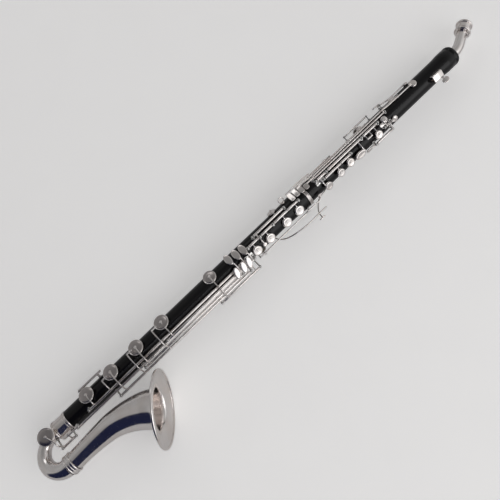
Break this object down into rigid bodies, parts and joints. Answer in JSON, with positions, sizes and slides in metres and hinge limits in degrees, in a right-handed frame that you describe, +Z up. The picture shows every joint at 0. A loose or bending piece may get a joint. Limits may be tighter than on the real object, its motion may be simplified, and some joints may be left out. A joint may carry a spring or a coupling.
{
  "type": "basset horn",
  "caption": "Low clarinet-like horn lying on its side: black two-piece body with rods, cups and levers, curled bow and flared bell below, short bent neck above with an open mouthpiece socket.",
  "frame": {"origin": "centre of the resting horn's bounding box in X and Y, on the table plane", "axes": "+X runs up the body from the bell to the neck, +Z up from the table, and the bell opens towards -Y"},
  "size_m": [0.9678, 0.1722, 0.1151],
  "materials": {
    "silver_plate": "bright silver plate",
    "satin_plate": "satin silver plate",
    "steel_rods": "polished steel rods with silvered posts",
    "blackwood": "dense black wood, oiled and polished",
    "pad_leather": "pale leather over felt"
  },
  "bodies": {
    "horn": {"bell": "silver_plate", "bell_bow": "silver_plate", "bell_collar": "silver_plate", "bow_key_rod": "steel_rods", "bow_ring": "silver_plate", "cross_lever_rod": "steel_rods", "front_lever_rod": "steel_rods", "guard_bar": "satin_plate", "joint_ring": "silver_plate", "left_stack_rods": "steel_rods", "long_lever_rod": "steel_rods", "low_key_rods": "steel_rods", "lower_joint": "blackwood", "lyre_socket": "silver_plate", "register_pivot": "steel_rods", "right_side_rod": "steel_rods", "right_stack_rod": "steel_rods", "strap_ring": "silver_plate", "throat_key_1_rod": "steel_rods", "throat_key_2_rod": "steel_rods", "thumb_rod": "steel_rods", "trill_rods": "steel_rods", "upper_joint": "blackwood"},
    "neck": {"neck_tube": "silver_plate", "mouthpiece_receiver": "silver_plate"},
    "thumbscrew": {"lyre_screw": "silver_plate"},
    "low_key_a": {"low_key_a": "silver_plate", "low_key_a_pad": "pad_leather"},
    "low_key_b": {"low_key_b": "silver_plate", "low_key_b_pad": "pad_leather"},
    "low_key_c": {"low_key_c": "silver_plate", "low_key_c_pad": "pad_leather"},
    "low_key_d": {"low_key_d": "silver_plate", "low_key_d_pad": "pad_leather"},
    "low_key_e": {"low_key_e": "silver_plate", "low_key_e_pad": "pad_leather"},
    "low_lever": {"low_lever": "silver_plate"},
    "bow_key": {"bow_key": "silver_plate", "bow_key_pad": "pad_leather"},
    "right_plate_1": {"right_plate_1": "silver_plate"},
    "right_plate_2": {"right_plate_2": "silver_plate"},
    "right_plate_3": {"right_plate_3": "silver_plate"},
    "right_plate_4": {"right_plate_4": "silver_plate"},
    "right_side_key": {"right_side_key": "silver_plate"},
    "front_lever": {"front_lever": "silver_plate"},
    "long_lever": {"long_lever": "silver_plate"},
    "cross_lever": {"cross_lever": "silver_plate"},
    "trill_key_1": {"trill_key_1": "silver_plate"},
    "trill_key_2": {"trill_key_2": "silver_plate"},
    "trill_key_3": {"trill_key_3": "silver_plate"},
    "trill_key_4": {"trill_key_4": "silver_plate"},
    "left_plate_4": {"left_plate_4": "silver_plate"},
    "left_plate_3": {"left_plate_3": "silver_plate"},
    "left_plate_2": {"left_plate_2": "silver_plate"},
    "left_spoon": {"left_spoon": "silver_plate"},
    "left_plate_1": {"left_plate_1": "silver_plate"},
    "throat_key_1": {"throat_key_1": "silver_plate"},
    "throat_key_2": {"throat_key_2": "silver_plate"},
    "thumb_key": {"thumb_key": "silver_plate"},
    "register_key": {"register_key": "silver_plate"}
  },
  "joints": [
    {"name": "neck_draw", "type": "slide", "parent": "horn", "child": "neck", "axis": [1, 0, 0], "range_m": [0, 0.015]},
    {"name": "thumbscrew_turn", "type": "hinge", "parent": "horn", "child": "thumbscrew", "pos_m": [0.36995, 0.0301, 0.05013], "axis": [0, -1, 0], "continuous": true},
    {"name": "low_key_a_press", "type": "hinge", "parent": "horn", "child": "low_key_a", "pos_m": [-0.21277, 0.03704, 0.04982], "axis": [-1, 0, 0], "range_deg": [0, 7], "stiffness_Nm_per_rad": 0.03, "springref_deg": -34.38},
    {"name": "low_key_b_press", "type": "hinge", "parent": "horn", "child": "low_key_b", "pos_m": [-0.19249, 0.02243, 0.03792], "axis": [-1, 0, 0], "range_deg": [0, 4.5], "stiffness_Nm_per_rad": 0.03, "springref_deg": -34.38},
    {"name": "low_key_c_press", "type": "hinge", "parent": "horn", "child": "low_key_c", "pos_m": [-0.17151, 0.02683, 0.04012], "axis": [-1, 0, 0], "range_deg": [0, 5], "stiffness_Nm_per_rad": 0.03, "springref_deg": -34.38},
    {"name": "low_key_d_press", "type": "hinge", "parent": "horn", "child": "low_key_d", "pos_m": [-0.14326, 0.03138, 0.04882], "axis": [-1, 0, 0], "range_deg": [0, 5.5], "stiffness_Nm_per_rad": 0.03, "springref_deg": -34.38},
    {"name": "low_key_e_press", "type": "hinge", "parent": "horn", "child": "low_key_e", "pos_m": [-0.08349, 0.01813, 0.03302], "axis": [-1, 0, 0], "range_deg": [0, 4], "stiffness_Nm_per_rad": 0.03, "springref_deg": -34.38},
    {"name": "low_lever_press", "type": "hinge", "parent": "horn", "child": "low_lever", "pos_m": [-0.22229, 0.03104, 0.04392], "axis": [-1, 0, 0], "range_deg": [0, 9.5], "stiffness_Nm_per_rad": 0.03, "springref_deg": -34.38},
    {"name": "bow_key_press", "type": "hinge", "parent": "horn", "child": "bow_key", "pos_m": [-0.42684, 0.02507, 0.04147], "axis": [-1, 0, 0], "range_deg": [0, 4.94], "stiffness_Nm_per_rad": 0.03, "springref_deg": -34.38},
    {"name": "right_plate_1_press", "type": "hinge", "parent": "horn", "child": "right_plate_1", "pos_m": [-0.02579, 0.04754, 0.05431], "axis": [1, 0, 0], "range_deg": [0, 6], "stiffness_Nm_per_rad": 0.03, "springref_deg": -34.38},
    {"name": "right_plate_2_press", "type": "hinge", "parent": "horn", "child": "right_plate_2", "pos_m": [0.00127, 0.04754, 0.05431], "axis": [1, 0, 0], "range_deg": [0, 6], "stiffness_Nm_per_rad": 0.03, "springref_deg": -34.38},
    {"name": "right_plate_3_press", "type": "hinge", "parent": "horn", "child": "right_plate_3", "pos_m": [0.03102, 0.04754, 0.05431], "axis": [1, 0, 0], "range_deg": [0, 6], "stiffness_Nm_per_rad": 0.03, "springref_deg": -34.38},
    {"name": "right_plate_4_press", "type": "hinge", "parent": "horn", "child": "right_plate_4", "pos_m": [0.05551, 0.04754, 0.05431], "axis": [1, 0, 0], "range_deg": [0, 5.5], "stiffness_Nm_per_rad": 0.03, "springref_deg": -34.38},
    {"name": "right_side_key_press", "type": "hinge", "parent": "horn", "child": "right_side_key", "pos_m": [0.01148, 0.05503, 0.05422], "axis": [1, 0, 0], "range_deg": [0, 9], "stiffness_Nm_per_rad": 0.03, "springref_deg": -34.38},
    {"name": "front_lever_press", "type": "hinge", "parent": "horn", "child": "front_lever", "pos_m": [0.01998, 0.02784, 0.03562], "axis": [1, 0, 0], "range_deg": [0, 6], "stiffness_Nm_per_rad": 0.03, "springref_deg": -34.38},
    {"name": "long_lever_press", "type": "hinge", "parent": "horn", "child": "long_lever", "pos_m": [-0.07902, 0.0571, 0.00235], "axis": [-1, 0, 0], "range_deg": [0, 7], "stiffness_Nm_per_rad": 0.03, "springref_deg": -34.38},
    {"name": "cross_lever_press", "type": "hinge", "parent": "horn", "child": "cross_lever", "pos_m": [0.15126, 0.0571, 0.00235], "axis": [-1, 0, 0], "range_deg": [0, 6], "stiffness_Nm_per_rad": 0.03, "springref_deg": -34.38},
    {"name": "trill_key_1_press", "type": "hinge", "parent": "horn", "child": "trill_key_1", "pos_m": [0.13022, 0.06534, 0.04838], "axis": [1, 0, 0], "range_deg": [0, 10], "stiffness_Nm_per_rad": 0.03, "springref_deg": -34.38},
    {"name": "trill_key_2_press", "type": "hinge", "parent": "horn", "child": "trill_key_2", "pos_m": [0.1683, 0.06212, 0.05097], "axis": [1, 0, 0], "range_deg": [0, 9], "stiffness_Nm_per_rad": 0.03, "springref_deg": -34.38},
    {"name": "trill_key_3_press", "type": "hinge", "parent": "horn", "child": "trill_key_3", "pos_m": [0.20262, 0.05922, 0.05246], "axis": [1, 0.0042, -0.0018], "range_deg": [0, 10], "stiffness_Nm_per_rad": 0.03, "springref_deg": -34.38},
    {"name": "trill_key_4_press", "type": "hinge", "parent": "horn", "child": "trill_key_4", "pos_m": [0.186, 0.05464, 0.05393], "axis": [1, -0.0035, 0.0006], "range_deg": [0, 12], "stiffness_Nm_per_rad": 0.03, "springref_deg": -34.38},
    {"name": "left_plate_4_press", "type": "hinge", "parent": "horn", "child": "left_plate_4", "pos_m": [0.11978, 0.04925, 0.05482], "axis": [1, 0, 0], "range_deg": [0, 5], "stiffness_Nm_per_rad": 0.03, "springref_deg": -34.38},
    {"name": "left_plate_3_press", "type": "hinge", "parent": "horn", "child": "left_plate_3", "pos_m": [0.13939, 0.04328, 0.05293], "axis": [1, 0, 0], "range_deg": [0, 7.5], "stiffness_Nm_per_rad": 0.03, "springref_deg": -34.38},
    {"name": "left_plate_2_press", "type": "hinge", "parent": "horn", "child": "left_plate_2", "pos_m": [0.16628, 0.04328, 0.05293], "axis": [1, 0, 0], "range_deg": [0, 8], "stiffness_Nm_per_rad": 0.03, "springref_deg": -34.38},
    {"name": "left_spoon_press", "type": "hinge", "parent": "horn", "child": "left_spoon", "pos_m": [0.16905, 0.04925, 0.05482], "axis": [1, 0, 0], "range_deg": [0, 5.5], "stiffness_Nm_per_rad": 0.03, "springref_deg": -34.38},
    {"name": "left_plate_1_press", "type": "hinge", "parent": "horn", "child": "left_plate_1", "pos_m": [0.22571, 0.04925, 0.05482], "axis": [1, 0, 0], "range_deg": [0, 6], "stiffness_Nm_per_rad": 0.03, "springref_deg": -34.38},
    {"name": "throat_key_1_press", "type": "hinge", "parent": "horn", "child": "throat_key_1", "pos_m": [0.23974, 0.02884, 0.03927], "axis": [1, 0, 0], "range_deg": [0, 7], "stiffness_Nm_per_rad": 0.03, "springref_deg": -34.38},
    {"name": "throat_key_2_press", "type": "hinge", "parent": "horn", "child": "throat_key_2", "pos_m": [0.25459, 0.03653, 0.04932], "axis": [-1, 0, 0], "range_deg": [0, 9], "stiffness_Nm_per_rad": 0.03, "springref_deg": -34.38},
    {"name": "thumb_key_press", "type": "hinge", "parent": "horn", "child": "thumb_key", "pos_m": [0.2194, 0.07327, 0.04147], "axis": [-1, 0, 0], "range_deg": [0, 6], "stiffness_Nm_per_rad": 0.03, "springref_deg": -34.38},
    {"name": "register_key_press", "type": "hinge", "parent": "horn", "child": "register_key", "pos_m": [0.27042, 0.07195, 0.04245], "axis": [0, -0.3907, 0.9205], "range_deg": [0, 5], "stiffness_Nm_per_rad": 0.03, "springref_deg": -34.38}
  ],
  "couplings": [
    {"joint": "bow_key_press", "follows": "low_lever_press", "ratio": 0.52}
  ]
}
